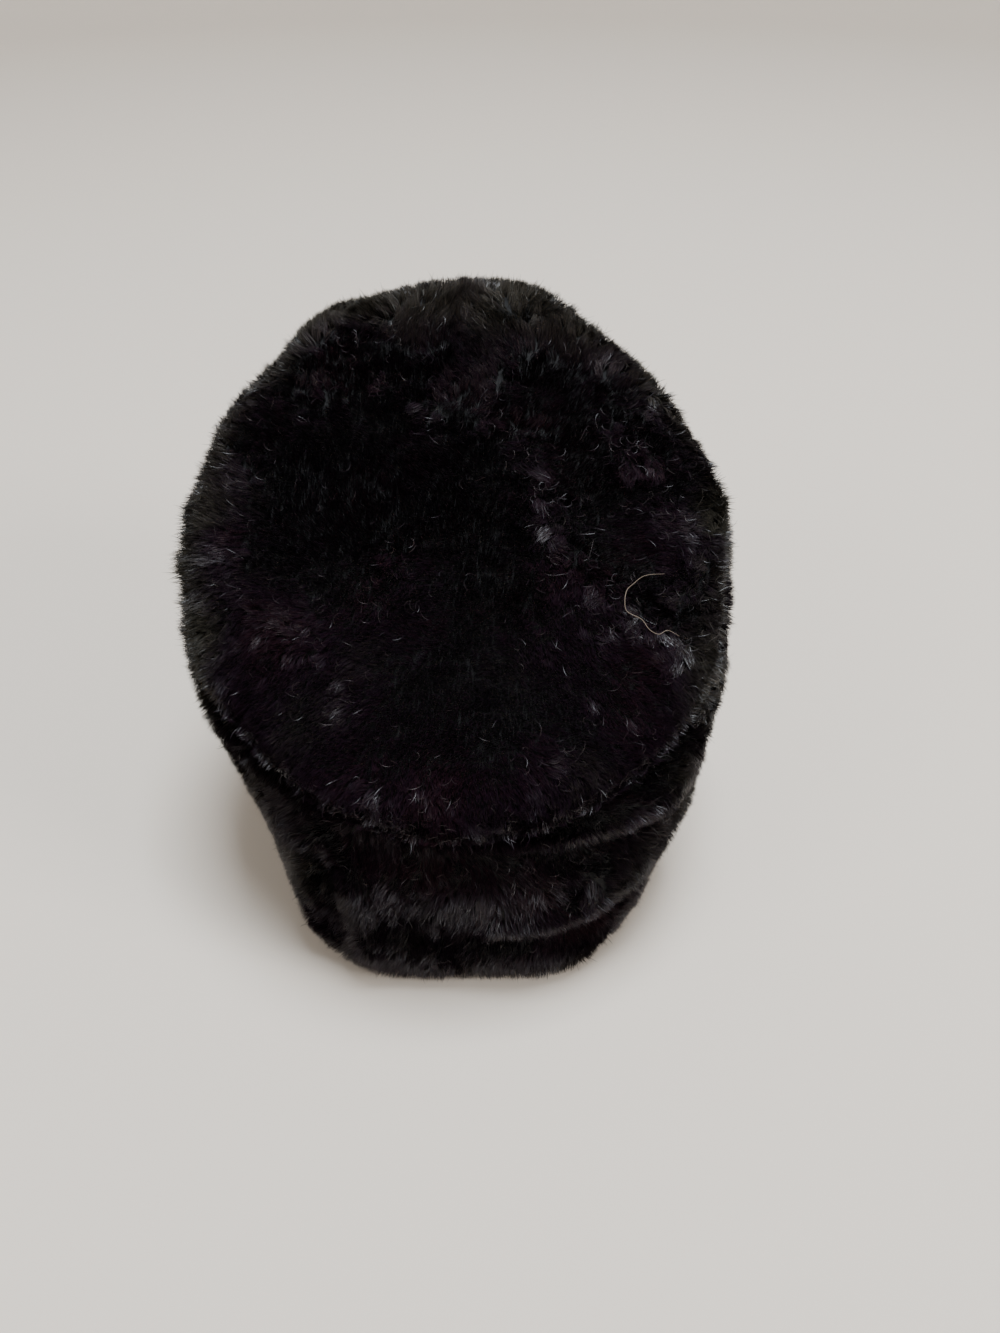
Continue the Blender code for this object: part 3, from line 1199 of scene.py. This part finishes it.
def add_floor(stage):
    """A round floor whose far edge curves up into a low wall."""
    mesh = bmesh.new()
    profile = [(0, 0), (FLOOR_REACH, 0)]
    for step in range(1, FLOOR_STEPS + 1):
        turn = math.pi / 2 * step / FLOOR_STEPS
        out = FLOOR_REACH + FLOOR_CURVE * math.sin(turn)
        profile.append((out, FLOOR_CURVE * (1 - math.cos(turn))))
    profile.append((FLOOR_REACH + FLOOR_CURVE, FLOOR_WALL))
    verts = [mesh.verts.new((out, 0, up)) for out, up in profile]
    edges = [mesh.edges.new(pair) for pair in zip(verts, verts[1:])]
    bmesh.ops.spin(
        mesh, geom=verts + edges, axis=(0, 0, 1), cent=(0, 0, 0), angle=2 * math.pi,
        steps=FLOOR_SIDES, use_merge=True,
    )
    bmesh.ops.remove_doubles(mesh, verts=mesh.verts, dist=MERGE)
    bmesh.ops.recalc_face_normals(mesh, faces=mesh.faces)
    if sum(face.normal.z for face in mesh.faces) < 0:
        bmesh.ops.reverse_faces(mesh, faces=mesh.faces)
    data = bpy.data.meshes.new("floor")
    mesh.to_mesh(data)
    mesh.free()
    data.shade_smooth()
    data.materials.append(plain_material("floor", stage.floor, FLOOR_ROUGHNESS))
    floor = bpy.data.objects.new("floor", data)
    bpy.context.scene.collection.objects.link(floor)


def add_light(name, place, size, colour, power):
    """A soft square light that shines at the hat."""
    data = bpy.data.lights.new(name, "AREA")
    data.shape = "SQUARE"
    data.size = size
    data.energy = power
    data.color = colour
    light = bpy.data.objects.new(name, data)
    light.location = place
    aim = Vector(LIT_PLACE) - light.location
    light.rotation_euler = aim.to_track_quat("-Z", "Y").to_euler()
    bpy.context.scene.collection.objects.link(light)


class TELPEK_OT_stage(bpy.types.Operator):
    """Sets out the floor, the lights and the camera"""

    bl_idname = "telpek.stage"
    bl_label = "Stage"

    def execute(self, context):
        stage = context.scene.telpek_stage
        add_floor(stage)
        for name, place, size, colour in LIGHTS:
            add_light(name, place, size, colour, getattr(stage, name))
        world = bpy.data.worlds.new("room")
        world.use_nodes = True
        sky = world.node_tree.nodes["Background"]
        sky.inputs["Color"].default_value = (1, 1, 1, 1)
        sky.inputs["Strength"].default_value = stage.sky
        context.scene.world = world
        lens = bpy.data.cameras.new("camera")
        lens.lens = FOCAL_PX / FRAME_HEIGHT_PX * lens.sensor_width
        camera = bpy.data.objects.new("camera", lens)
        camera.location = stage.camera_place
        camera.rotation_euler = (math.pi / 2 - stage.camera_pitch, 0, 0)
        context.scene.collection.objects.link(camera)
        context.scene.camera = camera
        return {"FINISHED"}


class TELPEK_PT_panel(bpy.types.Panel):
    """Lists each step and its settings"""

    bl_idname = "TELPEK_PT_panel"
    bl_label = "Telpek"
    bl_space_type = "VIEW_3D"
    bl_region_type = "UI"
    bl_category = "Telpek"

    def draw(self, context):
        layout = self.layout
        for operator, group in STEPS:
            layout.operator(operator.bl_idname)
            for key in getattr(context.scene, group).bl_rna.properties.keys():
                if key not in {"rna_type", "name"}:
                    layout.prop(getattr(context.scene, group), key)


STEPS = (
    (TELPEK_OT_hides, "telpek_hide"),
    (TELPEK_OT_crown_fur, "telpek_fur"),
    (TELPEK_OT_wall_fur, "telpek_fur"),
    (TELPEK_OT_caught_hair, "telpek_caught"),
    (TELPEK_OT_stage, "telpek_stage"),
)
GROUPS = {
    "telpek_hide": HideSettings,
    "telpek_fur": FurSettings,
    "telpek_caught": CaughtSettings,
    "telpek_stage": StageSettings,
}


def register():
    """Adds the settings, the steps and the panel to Blender."""
    for name, group in GROUPS.items():
        bpy.utils.register_class(group)
        setattr(bpy.types.Scene, name, PointerProperty(type=group))
    for operator, _ in STEPS:
        bpy.utils.register_class(operator)
    bpy.utils.register_class(TELPEK_PT_panel)


def unregister():
    """Takes them out again."""
    bpy.utils.unregister_class(TELPEK_PT_panel)
    for operator, _ in reversed(STEPS):
        bpy.utils.unregister_class(operator)
    for name, group in GROUPS.items():
        delattr(bpy.types.Scene, name)
        bpy.utils.unregister_class(group)


def main():
    """Makes the whole hat and its stage."""
    register()
    for operator, _ in STEPS:
        group, name = operator.bl_idname.split(".")
        getattr(getattr(bpy.ops, group), name)()


if __name__ == "__main__":
    main()
